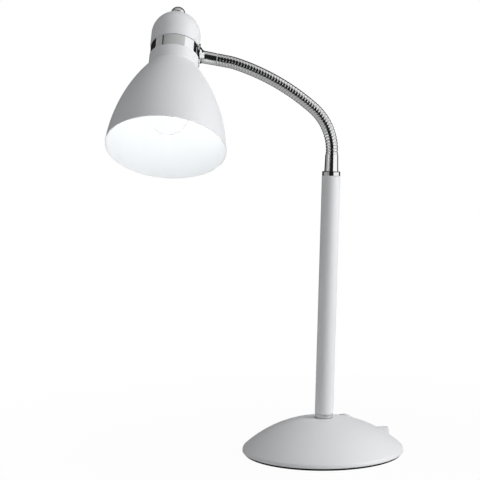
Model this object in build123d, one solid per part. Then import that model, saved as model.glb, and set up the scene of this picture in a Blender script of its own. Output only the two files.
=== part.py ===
from build123d import *
import math
import os

# Desk lamp with a weighted dome base, a slightly leaning tube stem, a ribbed gooseneck and a bell shade.
# Millimetres, +Z up, origin on the table under the middle of the base. The head reaches towards -X.

# Base shell, plate, weight and pad
BASE_DIAMETER = 175.0
BASE_HEIGHT = 38.9
LAND_DROP = 1.6
LAND_ROUNDING = 80.0
RIM_ROUNDING = 4.5
RIM_UPRIGHT = 0.8
SHELL_WALL = 1.2
PAD_INSET = 1.9
PAD_THICKNESS = 2.5
PLATE_THICKNESS = 2.0
PLATE_GAP = 0.4
POST_INSET = 16.0
POST_DIAMETER = 8.0
POST_TURN = 60.0
FIXINGS = 3
WEIGHT_GAP = 4.0
WEIGHT_BORE = 46.0
WEIGHT_THICKNESS = 12.0
WEIGHT_SCREW_INSET = 9.0

# Countersunk screws, the same in the posts and in the weight
SCREW_DIAMETER = 3.0
SCREW_LENGTH = 9.0
SCREW_HEAD_DIAMETER = 5.6
SCREW_HEAD_HEIGHT = 1.6
SCREW_SOCKET = 2.0
SCREW_SOCKET_DEPTH = 1.1

# Lamp thread, nuts and general clearances
THREAD_DIAMETER = 10.0
CABLE_DIAMETER = 5.8
CABLE_CLEARANCE = 0.6
THREAD_NUT_FLATS = 14.0
THREAD_NUT_THICKNESS = 4.0
FIT = 0.05
CLEARANCE = 0.2
LOCK_WASHER_DIAMETER = 18.0
LOCK_WASHER_THICKNESS = 1.0

# Stem
STEM_LEAN = 1.75
STEM_DIAMETER = 20.0
STEM_WALL = 1.2
STEM_TOP = 299.7
STEM_BUSH_LENGTH = 16.0
SEAT_RISE = 0.4
SEAT_THICKNESS = 3.0
SEAT_MARGIN = 1.5
FOOT_RING_DIAMETER = 19.4
FOOT_RING_HEIGHT = 4.6
TOP_RING_DIAMETER = 19.6
TOP_RING_HEIGHT = 5.2
RING_ROUNDING = 0.6
NIPPLE_TAIL = 5.0
LOWER_FERRULE_LENGTH = 18.1
LOWER_FERRULE_FOOT = 15.2
CUP_DEPTH = 9.75
CUP_WALL = 0.5
FERRULE_FOOT_TAPER = 0.06
FERRULE_LIP_TAPER = 0.02
CABLE_TAIL = 6.0

# Gooseneck: a ribbed hose in rigid links that turn on ball seats
HOSE_DIAMETER = 13.0
HOSE_BORE = 8.6
RIB_DEPTH = 0.9
RIB_PITCH = 3.25
RIB_FLANK_SHARE = 0.25
RIB_CREST_SHARE = 0.45
RIBS_PER_LINK = 7
LINKS = 8
TIGHT_BEND_RADIUS = 58.0
TIGHT_BEND_ANGLE = 51.5
WIDE_BEND_RADIUS = 237.0
END_BEND_RADIUS = 60.0
END_BEND_ANGLE = 7.5
BALL_OVERSIZE = 0.5
BALL_GAP = 0.3
SPIGOT_LENGTH = 8.0

# Upper ferrule and the head's swivel
ARM_REACH = 44.2
SLEEVE_DIAMETER = 13.2
SLEEVE_BORE = 9.6
SWIVEL_CLEARANCE = 0.1
JOURNAL_LENGTH = 11.0
WASHER_THICKNESS = 0.6
FACE_GAP = 0.1
CLIP_POSITION = 8.0
CLIP_THICKNESS = 1.0
CLIP_DEPTH = 0.6
SADDLE_DIAMETER = 25.6
SADDLE_THICKNESS = 1.1
FLARE_LENGTH = 4.2
FLARE_DIAMETER = 18.4
FLARE_MARGIN = 0.6
FLARE_FOOT_SLOPE = 0.56
TAIL_DIAMETER = 8.0
TAIL_BORE = 5.0
TAIL_NUT_FLATS = 12.0
TAIL_NUT_THICKNESS = 3.5
TAIL_WASHER_THICKNESS = 0.8

# Head: heights are measured from where the arm's axis meets the head's own axis
HEAD_SWIVEL = 29.5
NECK_DIAMETER = 50.8
SHEET_WALL = 0.8
BAND_DIAMETER = 49.8
BAND_ABOVE = 4.6
BAND_BELOW = 8.6
BAND_WALL = 1.2
BAND_LIP = 2.0
CREASE_DROP = 22.3
MOUTH_DIAMETER = 120.4
MOUTH_DROP = 117.0
BELL_RADIUS = 185.0
CAP_DIAMETER = 51.2
CAP_UPRIGHT = 15.4
CAP_LAND_DIAMETER = 19.0
FINIAL_DIAMETER = 15.6
FINIAL_SINK = 3.2
FINIAL_THREAD = 6.5
FINIAL_WASHER_THICKNESS = 1.0
LEAD_HOLE_DIAMETER = 6.0
LEAD_HOLE_RADIUS = 12.0
LEAD_DIAMETER = 2.2
LEAD_SPACING = 2.7
LEAD_LOOP = 9.0

# Lampholder and bulb
HOLDER_DIAMETER = 36.0
HOLDER_SHOULDER = 5.0
HOLDER_LENGTH = 40.4
HOLDER_HEAD = 8.4
HOLDER_THREAD = 5.5
SOCKET_DIAMETER = 27.1
SOCKET_WALL = 0.4
SOCKET_LENGTH = 30.0
CONTACT_WIDTH = 6.0
CONTACT_THICKNESS = 0.6
CONTACT_RISE = 3.4
CONTACT_REACH = 8.7
CONTACT_KNEE = 1.1
CONTACT_PAD = 2.9
BULB_CAP_DIAMETER = 26.4
BULB_CAP_LENGTH = 22.0
BULB_CAP_WALL = 0.35
BULB_CAP_SHOULDER = 0.9
BULB_THREAD_PITCH = 3.6
BULB_THREAD_DEPTH = 0.6
BULB_THREAD_LEAD = 1.8
BULB_THREADS = 5
BULB_INSULATOR_LENGTH = 3.0
BULB_COLLAR_DIAMETER = 12.0
BULB_TIP_DIAMETER = 9.0
BULB_TIP_HEIGHT = 1.2
BULB_DIAMETER = 40.0
BULB_NECK_DIAMETER = 24.0
BULB_CENTRE_DROP = 78.0
BULB_WALL = 0.7
BULB_SHOULDER_ANGLE = 45.0
BULB_MOUNT_DIAMETER = 8.0
FILAMENT_DROP = 73.0
FILAMENT_RADIUS = 9.0
FILAMENT_WIRE = 0.5
SUPPORT_WIRE = 0.7
SUPPORT_SPACING = 5.3

# Switch in the base
SWITCH_INSET = 33.1
SWITCH_AZIMUTH = 48.0
SWITCH_BEZEL_DIAMETER = 17.0
SWITCH_BEZEL_HEIGHT = 2.2
SWITCH_BEZEL_ROUNDING = 1.1
SWITCH_NECK_DIAMETER = 12.0
SWITCH_BODY_DIAMETER = 17.6
SWITCH_BODY_LENGTH = 11.5
SWITCH_BODY_WALL = 1.6
SWITCH_POCKET_GAP = 2.0
SWITCH_BUTTON_DIAMETER = 9.2
SWITCH_BUTTON_PROUD = 1.3
SWITCH_BUTTON_ROUNDING = 0.6
SWITCH_BUTTON_PLUNGER = 5.0
SWITCH_TRAVEL = 2.5
SWITCH_FLANGE_GAP = 0.5

# Cord inlet at the back of the base
INLET_INSET = 13.4
INLET_RISE = 3.2
INLET_DIAMETER = 10.0
INLET_ROUNDING = 2.0
INLET_GROOVE = 8.4
INLET_BORE = 5.6
INLET_LENGTH = 18.0
INLET_CHANNEL_GAP = 1.0

# Terminal block on the weight
TERMINAL_LENGTH = 22.0
TERMINAL_WIDTH = 14.0
TERMINAL_HEIGHT = 12.0
TERMINAL_RADIUS = 36.0
TERMINAL_POLES = 2
TERMINAL_ROW_SPACING = 7.0
TERMINAL_FLOOR = 4.0
TERMINAL_SCREW = 3.5
TERMINAL_SCREW_SINK = 3.0
TERMINAL_SLOT_WIDTH = 0.7
TERMINAL_SLOT_DEPTH = 0.9

UP = (Align.CENTER, Align.CENTER, Align.MIN)


def turned(*edges):
    """Solid of revolution about Z from the closed outline that edges in (radius, height) draw."""
    return revolve(Plane.XZ * make_face(Curve() + list(edges)), Axis.Z)


def turned_points(points):
    """Solid of revolution about Z from the corners of its outline."""
    return turned(*Polyline(*points, close=True).edges())


def rod(diameter, low, high):
    """Round rod about Z between two heights."""
    return Pos(0, 0, low) * Cylinder(diameter / 2, high - low, align=UP)


def tube(outer, inner, low, high):
    """Round tube about Z between two heights."""
    return rod(outer, low, high) - rod(inner, low, high)


def hex_nut(flats, bore, low, high):
    """Hexagon nut about Z, seated between two heights."""
    side = extrude(RegularPolygon(flats / 2, 6, major_radius=False), high - low)
    return Pos(0, 0, low) * side - rod(bore, low, high)


def rounded_ring(outer, inner, low, high, rounding):
    """Ring about Z with its two outer edges rounded."""
    ring = tube(outer, inner, low, high)
    rims = [e for e in ring.edges().filter_by(GeomType.CIRCLE) if abs(e.radius - outer / 2) < FIT / 10]
    return fillet(rims, rounding)


def moved(place, shape):
    """The shape carried from its own frame into the lamp's."""
    return place * shape


THREAD_BORE = CABLE_DIAMETER + 2 * CABLE_CLEARANCE

# Levels in the base
PLATE_TOP = PAD_THICKNESS + PLATE_THICKNESS
WEIGHT_TOP = PLATE_TOP + WEIGHT_THICKNESS
SCREW_HOLE_TOP = PAD_THICKNESS + SCREW_LENGTH + CLEARANCE
BASE_RADIUS = BASE_DIAMETER / 2
SWITCH_RADIUS = BASE_RADIUS - SWITCH_INSET
POST_CIRCLE = BASE_RADIUS - POST_INSET
WEIGHT_RADIUS = POST_CIRCLE - POST_DIAMETER / 2 - WEIGHT_GAP
WEIGHT_SCREW_CIRCLE = WEIGHT_RADIUS - WEIGHT_SCREW_INSET

# The dome's outline is a flat land round the stem, rounded into a crown arc, which is
# tangent to the rim's arc, which ends upright
RIM_LEVEL = PAD_THICKNESS + RIM_UPRIGHT
RIM_CENTRE = BASE_RADIUS - RIM_ROUNDING
CROWN_RISE = BASE_HEIGHT - RIM_LEVEL
CROWN_SPAN = RIM_CENTRE ** 2 + CROWN_RISE ** 2 - RIM_ROUNDING ** 2
CROWN_RADIUS = CROWN_SPAN / (2 * (CROWN_RISE - RIM_ROUNDING))
CROWN_CENTRE = BASE_HEIGHT - CROWN_RADIUS
CROWN_END = math.degrees(math.atan2(RIM_LEVEL - CROWN_CENTRE, RIM_CENTRE))
LAND_LEVEL = BASE_HEIGHT - LAND_DROP
LAND_CENTRE = LAND_LEVEL - LAND_ROUNDING
LAND_RADIUS = math.sqrt((CROWN_RADIUS - LAND_ROUNDING) ** 2 - (LAND_CENTRE - CROWN_CENTRE) ** 2)
LAND_END = math.degrees(math.atan2(LAND_CENTRE - CROWN_CENTRE, LAND_RADIUS))


def dome(inset):
    """The space under the dome's outer skin, drawn in by an inset."""
    wide = BASE_RADIUS - inset
    top = LAND_LEVEL - inset
    return turned(
        Line((0, top), (LAND_RADIUS, top)),
        CenterArc((LAND_RADIUS, LAND_CENTRE), LAND_ROUNDING - inset, LAND_END, 90 - LAND_END),
        CenterArc((0, CROWN_CENTRE), CROWN_RADIUS - inset, CROWN_END, LAND_END - CROWN_END),
        CenterArc((RIM_CENTRE, RIM_LEVEL), RIM_ROUNDING - inset, 0, CROWN_END),
        Line((wide, RIM_LEVEL), (wide, PAD_THICKNESS)),
        Line((wide, PAD_THICKNESS), (0, PAD_THICKNESS)),
        Line((0, PAD_THICKNESS), (0, top)),
    )


def dome_height(radius):
    """Height of the dome's crown at a distance from its axis."""
    return CROWN_CENTRE + math.sqrt(CROWN_RADIUS ** 2 - radius ** 2)


# Frames of the leaning stem, of the switch, which stands square on the dome, and of the cord inlet
STEM = Location((0, 0, 0), (0, STEM_LEAN, 0))
SWITCH_TILT = math.degrees(math.asin(SWITCH_RADIUS / CROWN_RADIUS))
SWITCH_SPOT = Rot(0, 0, SWITCH_AZIMUTH) * Pos(SWITCH_RADIUS, 0, dome_height(SWITCH_RADIUS))
SWITCH = SWITCH_SPOT * Rot(0, SWITCH_TILT, 0)
INLET_END = BASE_RADIUS - INLET_INSET
INLET_HEIGHT = dome_height(INLET_END) + INLET_RISE
INLET = Pos(0, 0, INLET_HEIGHT) * Rot(0, 90, 0)
SEAT_TOP = LAND_LEVEL + SEAT_RISE
SEAT_UNDER = SEAT_TOP - SEAT_THICKNESS


def fixing_places(circle, turn):
    """Places of the fixings round a circle."""
    return [Rot(0, 0, turn + 360 * k / FIXINGS) * Pos(circle, 0, 0) for k in range(FIXINGS)]


POSTS = fixing_places(POST_CIRCLE, POST_TURN)
WEIGHT_HOLES = fixing_places(WEIGHT_SCREW_CIRCLE, 0)


def base_shell():
    skin = dome(0)
    shell = skin - dome(SHELL_WALL)
    for place in POSTS:
        shell += moved(place, rod(POST_DIAMETER, PLATE_TOP, BASE_HEIGHT)) & skin
    shell += moved(STEM, rod(FOOT_RING_DIAMETER + 2 * SEAT_MARGIN, SEAT_UNDER, SEAT_TOP))
    shell -= moved(STEM, rod(THREAD_DIAMETER + 2 * CLEARANCE, SEAT_UNDER - SHELL_WALL, SEAT_TOP))
    neck_room = SWITCH_NECK_DIAMETER + 2 * CLEARANCE
    shell -= moved(SWITCH, rod(neck_room, -SWITCH_BODY_LENGTH, SWITCH_BODY_LENGTH))
    shell -= moved(INLET, rod(INLET_GROOVE, INLET_END - INLET_LENGTH, INLET_END))
    for place in POSTS:
        shell -= moved(place, rod(SCREW_DIAMETER + 2 * FIT, PAD_THICKNESS, SCREW_HOLE_TOP))
    return shell


def screw():
    """Countersunk socket screw standing point up with its head flush at the plate's underside."""
    shank = rod(SCREW_DIAMETER, SCREW_HEAD_HEIGHT, SCREW_LENGTH)
    head = Cone(SCREW_HEAD_DIAMETER / 2, SCREW_DIAMETER / 2, SCREW_HEAD_HEIGHT, align=UP)
    socket = extrude(RegularPolygon(SCREW_SOCKET / 2, 6, major_radius=False), SCREW_SOCKET_DEPTH)
    return Pos(0, 0, PAD_THICKNESS) * (shank + head - socket)


def bottom_plate():
    plate = rod(BASE_DIAMETER - 2 * (SHELL_WALL + PLATE_GAP), PAD_THICKNESS, PLATE_TOP)
    room = SCREW_DIAMETER + 2 * CLEARANCE
    wide = SCREW_HEAD_DIAMETER + 2 * CLEARANCE
    sink = Pos(0, 0, PAD_THICKNESS) * Cone(wide / 2, room / 2, SCREW_HEAD_HEIGHT, align=UP)
    for place in POSTS + WEIGHT_HOLES:
        plate -= moved(place, rod(room, PAD_THICKNESS, PLATE_TOP) + sink)
    return plate


def base_weight():
    weight = tube(2 * WEIGHT_RADIUS, WEIGHT_BORE, PLATE_TOP, WEIGHT_TOP)
    for place in WEIGHT_HOLES:
        weight -= moved(place, rod(SCREW_DIAMETER + 2 * FIT, PLATE_TOP, SCREW_HOLE_TOP))
    pocket = SWITCH_BODY_DIAMETER + 2 * SWITCH_POCKET_GAP
    weight -= moved(SWITCH, rod(pocket, -2 * BASE_HEIGHT, 0))
    return weight - moved(INLET, rod(INLET_DIAMETER + 2 * INLET_CHANNEL_GAP, 0, INLET_END))


def base_pad():
    return rod(BASE_DIAMETER - 2 * PAD_INSET, 0, PAD_THICKNESS)


def cord_bush():
    """Grommet that grips the shell's sheet between two collars cut to the dome's slope."""
    inner_end = INLET_END - INLET_LENGTH
    barrel = rod(INLET_DIAMETER, inner_end, INLET_END)
    nose = barrel.edges().filter_by(GeomType.CIRCLE).sort_by(Axis.Z)[-1]
    collar = moved(INLET, fillet(nose, INLET_ROUNDING))
    outside = collar - dome(-FIT)
    inside = collar & dome(SHELL_WALL + FIT)
    groove = moved(INLET, rod(INLET_GROOVE - 2 * FIT, inner_end, INLET_END))
    return outside + inside + groove - moved(INLET, rod(INLET_BORE, inner_end, INLET_END))


def terminal_places():
    step = TERMINAL_LENGTH / (TERMINAL_POLES + 1)
    rows = (-TERMINAL_ROW_SPACING / 2, TERMINAL_ROW_SPACING / 2)
    lanes = [step * (k + 1) - TERMINAL_LENGTH / 2 for k in range(TERMINAL_POLES)]
    return [Pos(x - TERMINAL_RADIUS, y, WEIGHT_TOP) for x in rows for y in lanes]


def terminal_block():
    size = (TERMINAL_WIDTH, TERMINAL_LENGTH, TERMINAL_HEIGHT)
    block = Pos(-TERMINAL_RADIUS, 0, WEIGHT_TOP) * Box(*size, align=UP)
    for place in terminal_places():
        well = rod(TERMINAL_SCREW + 2 * FIT, TERMINAL_FLOOR, TERMINAL_HEIGHT)
        block -= moved(place, well)
    return block


def terminal_screws():
    top = TERMINAL_HEIGHT - TERMINAL_SCREW_SINK
    body = rod(TERMINAL_SCREW, TERMINAL_FLOOR, top)
    slot = Pos(0, 0, top) * Box(TERMINAL_SCREW, TERMINAL_SLOT_WIDTH, 2 * TERMINAL_SLOT_DEPTH)
    return Compound(children=[moved(place, body - slot) for place in terminal_places()])


def switch_body():
    top = -(SHELL_WALL + SWITCH_FLANGE_GAP)
    bottom = top - SWITCH_BODY_LENGTH
    bore = SWITCH_BUTTON_DIAMETER + 2 * CLEARANCE
    case = rod(SWITCH_BODY_DIAMETER, bottom, top) + rod(SWITCH_NECK_DIAMETER, top, SWITCH_BEZEL_HEIGHT)
    return moved(SWITCH, case - rod(bore, bottom + SWITCH_BODY_WALL, SWITCH_BEZEL_HEIGHT))


def switch_bezel():
    bore = SWITCH_NECK_DIAMETER + 2 * FIT
    ring = tube(SWITCH_BEZEL_DIAMETER, bore, 0, SWITCH_BEZEL_HEIGHT)
    rim = ring.edges().filter_by(GeomType.CIRCLE).sort_by(Axis.Z)[-2:].sort_by(SortBy.RADIUS)[-1]
    return moved(SWITCH, fillet(rim, SWITCH_BEZEL_ROUNDING))


def switch_button():
    top = SWITCH_BEZEL_HEIGHT + SWITCH_BUTTON_PROUD
    floor = SWITCH_BODY_WALL - (SHELL_WALL + SWITCH_FLANGE_GAP) - SWITCH_BODY_LENGTH
    cap = rod(SWITCH_BUTTON_DIAMETER, -SWITCH_BUTTON_PROUD, top)
    cap = fillet(cap.edges().sort_by(Axis.Z)[-1], SWITCH_BUTTON_ROUNDING)
    plunger = rod(SWITCH_BUTTON_PLUNGER, floor + SWITCH_TRAVEL + CLEARANCE, 0)
    return moved(SWITCH, cap + plunger)


# Levels along the stem's own axis
FOOT_TOP = SEAT_TOP + FOOT_RING_HEIGHT
RING_TOP = STEM_TOP + TOP_RING_HEIGHT
FERRULE_TOP = RING_TOP + LOWER_FERRULE_LENGTH
HOSE_START = FERRULE_TOP - CUP_DEPTH
WASHER_UNDER = SEAT_UNDER - LOCK_WASHER_THICKNESS
NUT_UNDER = WASHER_UNDER - THREAD_NUT_THICKNESS
NIPPLE_LOW = NUT_UNDER - NIPPLE_TAIL
NIPPLE_HIGH = FOOT_TOP + STEM_BUSH_LENGTH
THREAD_ROOM = THREAD_DIAMETER + 2 * FIT
STEM_BORE = STEM_DIAMETER - 2 * STEM_WALL


def stem_parts():
    """Every piece that stands on the leaning stem's axis, by name."""
    foot = LOWER_FERRULE_FOOT / 2
    cup = HOSE_DIAMETER / 2 + FIT
    lip = cup + CUP_WALL
    way = THREAD_BORE / 2
    tapers = ((-FERRULE_FOOT_TAPER, 1), (-FERRULE_LIP_TAPER, 1))
    ferrule = turned(
        Line((way, RING_TOP), (foot, RING_TOP)),
        Spline((foot, RING_TOP), (lip, FERRULE_TOP), tangents=tapers),
        Polyline((lip, FERRULE_TOP), (cup, FERRULE_TOP), (cup, HOSE_START), (way, HOSE_START)),
        Line((way, HOSE_START), (way, RING_TOP)),
    )
    tail = tube(THREAD_DIAMETER, THREAD_BORE, STEM_TOP - STEM_BUSH_LENGTH, RING_TOP)
    spigot = tube(HOSE_BORE - 2 * FIT, THREAD_BORE, HOSE_START, HOSE_START + SPIGOT_LENGTH)
    bush = STEM_BORE - 2 * FIT
    foot_ring = rounded_ring(FOOT_RING_DIAMETER, THREAD_ROOM, SEAT_TOP, FOOT_TOP, RING_ROUNDING)
    top_ring = rounded_ring(TOP_RING_DIAMETER, THREAD_ROOM, STEM_TOP, RING_TOP, RING_ROUNDING)
    return {
        "stem_tube": tube(STEM_DIAMETER, STEM_BORE, FOOT_TOP, STEM_TOP),
        "stem_foot_ring": foot_ring,
        "stem_top_ring": top_ring,
        "stem_lower_bush": tube(bush, THREAD_ROOM, FOOT_TOP, NIPPLE_HIGH),
        "stem_upper_bush": tube(bush, THREAD_ROOM, STEM_TOP - STEM_BUSH_LENGTH, STEM_TOP),
        "stem_nipple": tube(THREAD_DIAMETER, THREAD_BORE, NIPPLE_LOW, NIPPLE_HIGH),
        "stem_lock_washer": tube(LOCK_WASHER_DIAMETER, THREAD_ROOM, WASHER_UNDER, SEAT_UNDER),
        "stem_nut": hex_nut(THREAD_NUT_FLATS, THREAD_ROOM, NUT_UNDER, WASHER_UNDER),
        "lower_ferrule": ferrule + tail + spigot,
        "stem_cable": rod(CABLE_DIAMETER, NIPPLE_LOW - CABLE_TAIL, HOSE_START + SPIGOT_LENGTH),
    }


# The hose's centre line: straight in its cup, a tight bend, a wide one, a small one and a straight end
LINK_LENGTH = RIB_PITCH * RIBS_PER_LINK
HOSE_LENGTH = LINK_LENGTH * LINKS
END_RUN = HOSE_DIAMETER
TIGHT_LENGTH = TIGHT_BEND_RADIUS * math.radians(TIGHT_BEND_ANGLE)
END_BEND_LENGTH = END_BEND_RADIUS * math.radians(END_BEND_ANGLE)
WIDE_LENGTH = HOSE_LENGTH - 2 * END_RUN - TIGHT_LENGTH - END_BEND_LENGTH
HOSE_RADIUS = HOSE_DIAMETER / 2
VALLEY_RADIUS = HOSE_RADIUS - RIB_DEPTH
BALL_RADIUS = HOSE_RADIUS + BALL_OVERSIZE
BALL_SETBACK = math.sqrt((BALL_RADIUS + BALL_GAP) ** 2 - HOSE_RADIUS ** 2)
RIB_FLANK = RIB_PITCH * RIB_FLANK_SHARE
RIB_CREST = RIB_PITCH * RIB_CREST_SHARE


def hose_plane(s):
    """Plane square to the hose at a length along it, its X axis kept on the lamp's Y axis."""
    heading = math.pi / 2 - math.radians(STEM_LEAN)
    x, z = HOSE_START * math.cos(heading), HOSE_START * math.sin(heading)
    first = min(s, END_RUN)
    x, z = x + first * math.cos(heading), z + first * math.sin(heading)
    left = s - first
    bends = (
        (TIGHT_BEND_RADIUS, TIGHT_LENGTH),
        (WIDE_BEND_RADIUS, WIDE_LENGTH),
        (END_BEND_RADIUS, END_BEND_LENGTH),
    )
    for radius, length in bends:
        step = min(left, length)
        turn = step / radius
        x += radius * (math.sin(heading + turn) - math.sin(heading))
        z += radius * (math.cos(heading) - math.cos(heading + turn))
        heading += turn
        left -= step
    x, z = x + left * math.cos(heading), z + left * math.sin(heading)
    return Plane((x, 0, z), x_dir=(0, 1, 0), z_dir=(math.cos(heading), 0, math.sin(heading)))


def ball_place(k):
    """Length along the hose of the ball seat between link k and the next."""
    return k * LINK_LENGTH - BALL_SETBACK


def link_sections(k):
    """Lengths and radii of the circles that draw a link's ribs, four to a rib."""
    start = (k - 1) * LINK_LENGTH
    sections = []
    if k > 1:
        sections.append((start - RIB_FLANK, VALLEY_RADIUS))
    for rib in range(RIBS_PER_LINK):
        low = start + rib * RIB_PITCH
        sections.append((low, VALLEY_RADIUS))
        sections.append((low + RIB_FLANK, HOSE_RADIUS))
        sections.append((low + RIB_FLANK + RIB_CREST, HOSE_RADIUS))
        sections.append((low + 2 * RIB_FLANK + RIB_CREST, VALLEY_RADIUS))
    tail = BALL_RADIUS - BALL_SETBACK if k < LINKS else 0
    sections.append((k * LINK_LENGTH + tail, VALLEY_RADIUS))
    return sections


def gooseneck_link(k):
    """One rigid link: ribbed outside, bored through, hollow ball seat below and ball end above."""
    sections = link_sections(k)
    link = loft([hose_plane(s) * Circle(r) for s, r in sections], ruled=True)
    low, high = sections[0][0], sections[-1][0]
    steps = 2 * RIBS_PER_LINK
    stations = [low + (high - low) * n / steps for n in range(steps + 1)]
    link -= loft([hose_plane(s) * Circle(HOSE_BORE / 2) for s in stations], ruled=True)
    if k > 1:
        link -= hose_plane(ball_place(k - 1)).location * Sphere(BALL_RADIUS + BALL_GAP)
    if k < LINKS:
        beyond = rod(4 * BALL_RADIUS, 0, 3 * BALL_RADIUS) - Sphere(BALL_RADIUS)
        link -= hose_plane(ball_place(k)).location * beyond
    return link


# Frame of the upper ferrule, Z from the hose's end to the head, and frame of the head, Z up its axis
HOSE_END = hose_plane(HOSE_LENGTH)
ARM = HOSE_END.z_dir
HEAD_ORIGIN = HOSE_END.origin + ARM * ARM_REACH
HEAD_UP = Vector(-ARM.Z, 0, ARM.X).rotate(Axis((0, 0, 0), ARM), 180 + HEAD_SWIVEL)
FERRULE = Plane(HOSE_END.origin, x_dir=HEAD_UP, z_dir=ARM).location
HEAD = Plane(HEAD_ORIGIN, x_dir=-ARM, z_dir=HEAD_UP).location
NECK_RADIUS = NECK_DIAMETER / 2
HEAD_RADIUS = max(NECK_DIAMETER, CAP_DIAMETER) / 2 + FIT
SLEEVE_START = WASHER_THICKNESS + 2 * FACE_GAP
SADDLE_FACE = ARM_REACH - HEAD_RADIUS
BAND_INSIDE = BAND_DIAMETER / 2 - BAND_WALL - CLEARANCE
CLIP_BOTTOM = SLEEVE_BORE - 2 * SWIVEL_CLEARANCE - 2 * CLIP_DEPTH
TAIL_WASHER_FACE = ARM_REACH - math.sqrt(BAND_INSIDE ** 2 - (TAIL_NUT_FLATS / 2) ** 2)
TAIL_NUT_FACE = TAIL_WASHER_FACE + TAIL_WASHER_THICKNESS
TAIL_END = TAIL_NUT_FACE + TAIL_NUT_THICKNESS + FACE_GAP


def head_space(gap):
    """The space that the head takes up beside the ferrule, with a gap round it."""
    return Pos(0, 0, ARM_REACH) * Rot(0, 90, 0) * Cylinder(HEAD_RADIUS + gap, 2 * SADDLE_DIAMETER)


def upper_ferrule():
    """Sleeve that turns on the hose's end plug, flared to a saddle on the head, with a threaded tail."""
    sleeve = SLEEVE_DIAMETER / 2
    saddle = SADDLE_DIAMETER / 2
    foot = saddle - FLARE_MARGIN
    saddle_top = SADDLE_FACE - SADDLE_THICKNESS
    flare_low = saddle_top - FLARE_LENGTH
    foot_level = ARM_REACH - math.sqrt(HEAD_RADIUS ** 2 - foot ** 2) - SADDLE_THICKNESS / 2
    deep = ARM_REACH - math.sqrt(HEAD_RADIUS ** 2 - saddle ** 2) + FIT
    slope = math.atan2(sleeve - HOSE_RADIUS, flare_low - SLEEVE_START)
    slopes = ((math.sin(slope), math.cos(slope)), (1, FLARE_FOOT_SLOPE))
    body = turned(
        Line((0, SLEEVE_START), (HOSE_RADIUS, SLEEVE_START)),
        Line((HOSE_RADIUS, SLEEVE_START), (sleeve, flare_low)),
        Spline((sleeve, flare_low), (FLARE_DIAMETER / 2, saddle_top), (foot, foot_level), tangents=slopes),
        Line((foot, foot_level), (foot, deep)),
        Line((foot, deep), (0, deep)),
        Line((0, deep), (0, SLEEVE_START)),
    )
    body += rod(SADDLE_DIAMETER, saddle_top - SADDLE_THICKNESS, deep) & head_space(SADDLE_THICKNESS)
    body = body - head_space(0) + rod(TAIL_DIAMETER, saddle_top, TAIL_END)
    journal_room = SLEEVE_START + JOURNAL_LENGTH
    groove_low = CLIP_POSITION - FACE_GAP
    groove_high = CLIP_POSITION + CLIP_THICKNESS + FACE_GAP
    groove = tube(SLEEVE_BORE + 2 * CLIP_DEPTH, CLIP_BOTTOM, groove_low, groove_high)
    body -= rod(SLEEVE_BORE, 0, journal_room) + groove + rod(TAIL_BORE, 0, TAIL_END)
    return moved(FERRULE, body)


def neck_end_plug():
    """Plug pressed in the hose's end, with the journal on which the head turns."""
    journal = SLEEVE_BORE - 2 * SWIVEL_CLEARANCE
    plug = rod(HOSE_BORE - 2 * FIT, -SPIGOT_LENGTH, 0) + rod(journal, 0, JOURNAL_LENGTH)
    groove = tube(journal, CLIP_BOTTOM, CLIP_POSITION, CLIP_POSITION + CLIP_THICKNESS)
    return moved(FERRULE, plug - groove - rod(TAIL_BORE, -SPIGOT_LENGTH, JOURNAL_LENGTH))


def swivel_clip():
    ring = tube(SLEEVE_BORE + 2 * CLIP_DEPTH - 2 * SWIVEL_CLEARANCE, CLIP_BOTTOM + 2 * FIT, 0, CLIP_THICKNESS)
    gap = Pos(SLEEVE_BORE / 2, 0, 0) * Box(SLEEVE_BORE, CLIP_THICKNESS, 3 * CLIP_THICKNESS)
    return moved(FERRULE, Pos(0, 0, CLIP_POSITION) * (ring - gap))


def swivel_washer():
    bore = SLEEVE_BORE - 2 * SWIVEL_CLEARANCE + 2 * FIT
    return moved(FERRULE, tube(HOSE_DIAMETER - RIB_DEPTH, bore, FACE_GAP, FACE_GAP + WASHER_THICKNESS))


def ferrule_nut():
    bore = TAIL_DIAMETER + 2 * FIT
    nut_end = TAIL_NUT_FACE + TAIL_NUT_THICKNESS
    return moved(FERRULE, hex_nut(TAIL_NUT_FLATS, bore, TAIL_NUT_FACE, nut_end))


def ferrule_washer():
    return moved(FERRULE, tube(TAIL_NUT_FLATS, TAIL_DIAMETER + 2 * FIT, TAIL_WASHER_FACE, TAIL_NUT_FACE))


# Levels of the head
PLATE_LEVEL = -(BAND_BELOW + BAND_LIP)
BELL_CHORD = math.dist((NECK_RADIUS, -CREASE_DROP), (MOUTH_DIAMETER / 2, -MOUTH_DROP))
BELL_LEAN = math.atan2(MOUTH_DIAMETER / 2 - NECK_RADIUS, MOUTH_DROP - CREASE_DROP)
BELL_DEPTH = math.sqrt(BELL_RADIUS ** 2 - (BELL_CHORD / 2) ** 2)
BELL_CENTRE = (
    (NECK_RADIUS + MOUTH_DIAMETER / 2) / 2 - BELL_DEPTH * math.cos(BELL_LEAN),
    -(CREASE_DROP + MOUTH_DROP) / 2 - BELL_DEPTH * math.sin(BELL_LEAN),
)
CAP_RADIUS = CAP_DIAMETER / 2
CAP_SHOULDER = BAND_ABOVE + CAP_UPRIGHT
CAP_TOP = CAP_SHOULDER + math.sqrt(CAP_RADIUS ** 2 - (CAP_LAND_DIAMETER / 2) ** 2)
FINIAL_FOOT = CAP_TOP + FINIAL_WASHER_THICKNESS
HOLDER_TOP = PLATE_LEVEL - SHEET_WALL
HOLDER_FLOOR = HOLDER_TOP - HOLDER_HEAD
BULB_TIP = HOLDER_FLOOR - CONTACT_THICKNESS - CONTACT_RISE - FACE_GAP


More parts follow.
